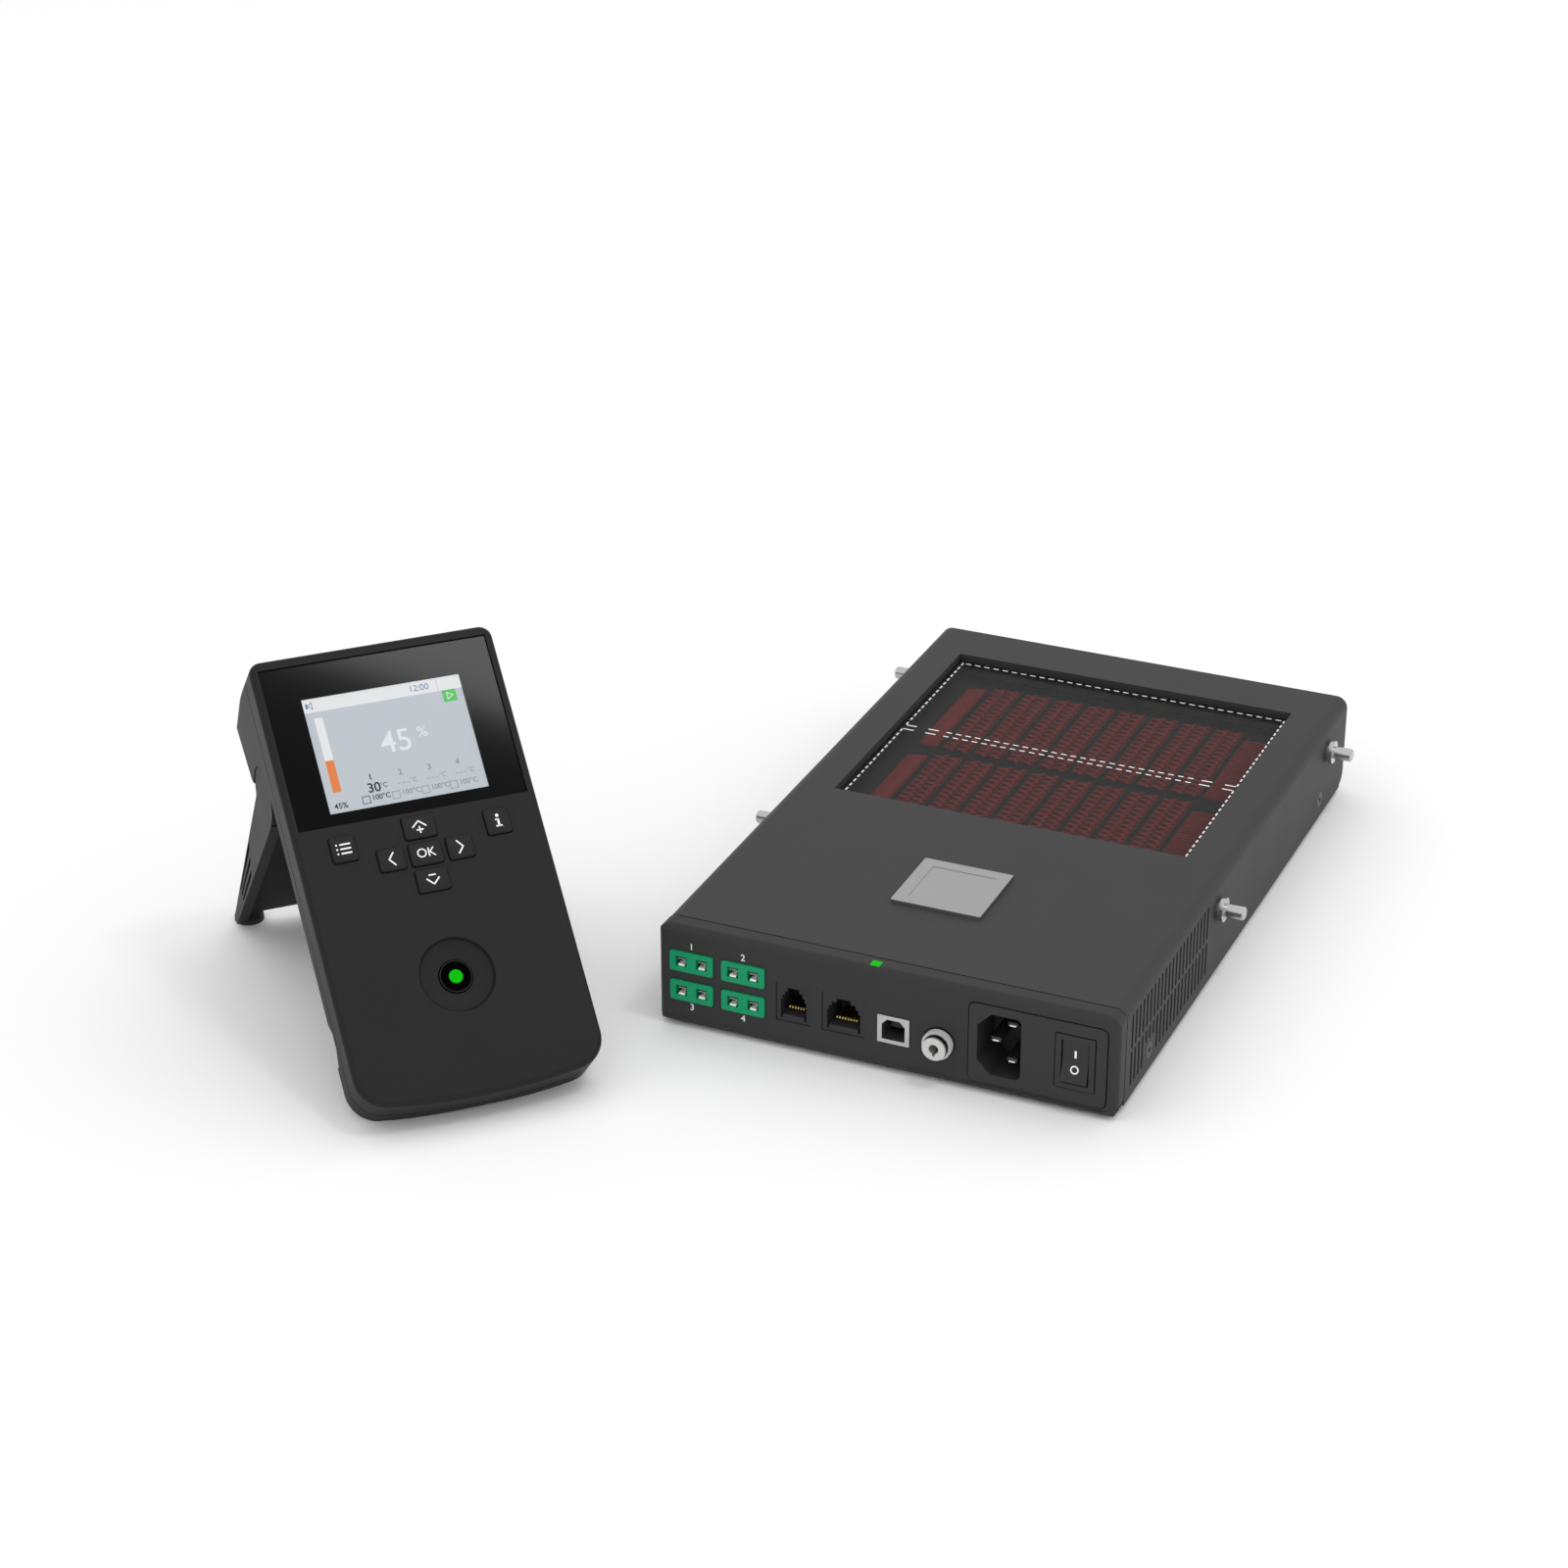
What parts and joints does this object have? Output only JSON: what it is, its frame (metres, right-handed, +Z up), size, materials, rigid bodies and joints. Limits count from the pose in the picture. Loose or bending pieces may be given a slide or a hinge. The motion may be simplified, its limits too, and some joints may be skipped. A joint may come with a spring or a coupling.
{
  "type": "pcb preheater",
  "caption": "Flat infrared board preheater with a glass-covered heating window, connector panel and side studs, with a hand console on a folding stand.",
  "frame": {"origin": "middle of the set's box, on the table", "axes": "+X along the heater's connector panel to the right, +Y away from the panel, +Z up"},
  "size_m": [0.3568, 0.3812, 0.1264],
  "materials": {
    "top_cover": "fine matt powder coat",
    "front_cap": "fine grain",
    "base_tray": "matt powder coat",
    "rubber_feet": "matt",
    "gasket_frame": "matt",
    "window_glass": "clear, printed border",
    "element_pan": "plain sheet",
    "insulation_board": "fibre board",
    "strips_near": "oxidised mesh",
    "strips_far": "oxidised mesh",
    "pan_posts": "turned",
    "control_board": "solder resist",
    "board_posts": "turned",
    "tc_sockets": "moulded",
    "tc_contacts": "plated",
    "jack_narrow": "moulded",
    "jack_wide": "moulded",
    "jack_contacts": "gilt",
    "usb_shell": "plated sheet",
    "usb_tongue": "moulded",
    "round_jack": "plated",
    "round_nut": "plated",
    "inlet_frame": "moulded",
    "inlet_pins": "plated",
    "rocker": "moulded",
    "status_light": "lit",
    "side_studs": "turned",
    "stud_nuts": "plain",
    "top_plate": "brushed",
    "cover_screws": "black zinc",
    "console_front": "fine grain",
    "console_rear": "fine grain",
    "display_window": "polished",
    "display_panel": "lit",
    "console_board": "solder resist",
    "key_pad": "moulded",
    "start_button": "moulded",
    "start_lens": "lit",
    "stand": "fine grain",
    "hinge_pins": "turned",
    "stand_feet": "matt",
    "console_screws": "black zinc",
    "key_menu": "moulded",
    "key_up_arrow": "moulded",
    "key_left_arrow": "moulded",
    "key_ok": "moulded",
    "key_right_arrow": "moulded",
    "key_down_arrow": "moulded",
    "key_info": "moulded"
  },
  "bodies": {
    "heater": {"top_cover": "top_cover", "front_cap": "front_cap", "base_tray": "base_tray", "rubber_feet": "rubber_feet", "gasket_frame": "gasket_frame", "window_glass": "window_glass", "element_pan": "element_pan", "insulation_board": "insulation_board", "strips_near": "strips_near", "strips_far": "strips_far", "pan_posts": "pan_posts", "control_board": "control_board", "board_posts": "board_posts", "tc_sockets": "tc_sockets", "tc_contacts": "tc_contacts", "jack_narrow": "jack_narrow", "jack_wide": "jack_wide", "jack_contacts": "jack_contacts", "usb_shell": "usb_shell", "usb_tongue": "usb_tongue", "round_jack": "round_jack", "round_nut": "round_nut", "inlet_frame": "inlet_frame", "inlet_pins": "inlet_pins", "status_light": "status_light", "side_studs": "side_studs", "stud_nuts": "stud_nuts", "top_plate": "top_plate", "cover_screws": "cover_screws"},
    "rocker_body": {"rocker": "rocker"},
    "console": {"console_front": "console_front", "console_rear": "console_rear", "display_window": "display_window", "display_panel": "display_panel", "console_board": "console_board", "key_pad": "key_pad", "hinge_pins": "hinge_pins", "console_screws": "console_screws"},
    "stand_body": {"stand": "stand", "stand_feet": "stand_feet"},
    "start_body": {"start_button": "start_button", "start_lens": "start_lens"},
    "key_menu_body": {"key_menu": "key_menu"},
    "key_up_arrow_body": {"key_up_arrow": "key_up_arrow"},
    "key_left_arrow_body": {"key_left_arrow": "key_left_arrow"},
    "key_ok_body": {"key_ok": "key_ok"},
    "key_right_arrow_body": {"key_right_arrow": "key_right_arrow"},
    "key_down_arrow_body": {"key_down_arrow": "key_down_arrow"},
    "key_info_body": {"key_info": "key_info"}
  },
  "joints": [
    {"name": "console_lift", "type": "slide", "parent": "heater", "child": "console", "axis": [0, 0, 1], "range_m": [0, 0.2]},
    {"name": "stand_fold", "type": "hinge", "parent": "console", "child": "stand_body", "pos_m": [-0.10387, -0.08849, 0.07966], "axis": [-0.6962, -0.7179, 0], "range_deg": [0, 87.5]},
    {"name": "rocker_tilt", "type": "hinge", "parent": "heater", "child": "rocker_body", "pos_m": [0.15329, -0.07906, 0.0202], "axis": [1, 0, 0], "range_deg": [0, 14]},
    {"name": "start_press", "type": "slide", "parent": "console", "child": "start_body", "axis": [-0.5005, 0.4853, -0.7169], "range_m": [0, 0.001], "stiffness_N_per_m": 800},
    {"name": "key_menu_press", "type": "slide", "parent": "console", "child": "key_menu_body", "axis": [-0.5005, 0.4853, -0.7169], "range_m": [0, 0.0008], "stiffness_N_per_m": 800},
    {"name": "key_up_arrow_press", "type": "slide", "parent": "console", "child": "key_up_arrow_body", "axis": [-0.5005, 0.4853, -0.7169], "range_m": [0, 0.0008], "stiffness_N_per_m": 800},
    {"name": "key_left_arrow_press", "type": "slide", "parent": "console", "child": "key_left_arrow_body", "axis": [-0.5005, 0.4853, -0.7169], "range_m": [0, 0.0008], "stiffness_N_per_m": 800},
    {"name": "key_ok_press", "type": "slide", "parent": "console", "child": "key_ok_body", "axis": [-0.5005, 0.4853, -0.7169], "range_m": [0, 0.0008], "stiffness_N_per_m": 800},
    {"name": "key_right_arrow_press", "type": "slide", "parent": "console", "child": "key_right_arrow_body", "axis": [-0.5005, 0.4853, -0.7169], "range_m": [0, 0.0008], "stiffness_N_per_m": 800},
    {"name": "key_down_arrow_press", "type": "slide", "parent": "console", "child": "key_down_arrow_body", "axis": [-0.5005, 0.4853, -0.7169], "range_m": [0, 0.0008], "stiffness_N_per_m": 800},
    {"name": "key_info_press", "type": "slide", "parent": "console", "child": "key_info_body", "axis": [-0.5005, 0.4853, -0.7169], "range_m": [0, 0.0008], "stiffness_N_per_m": 800}
  ]
}
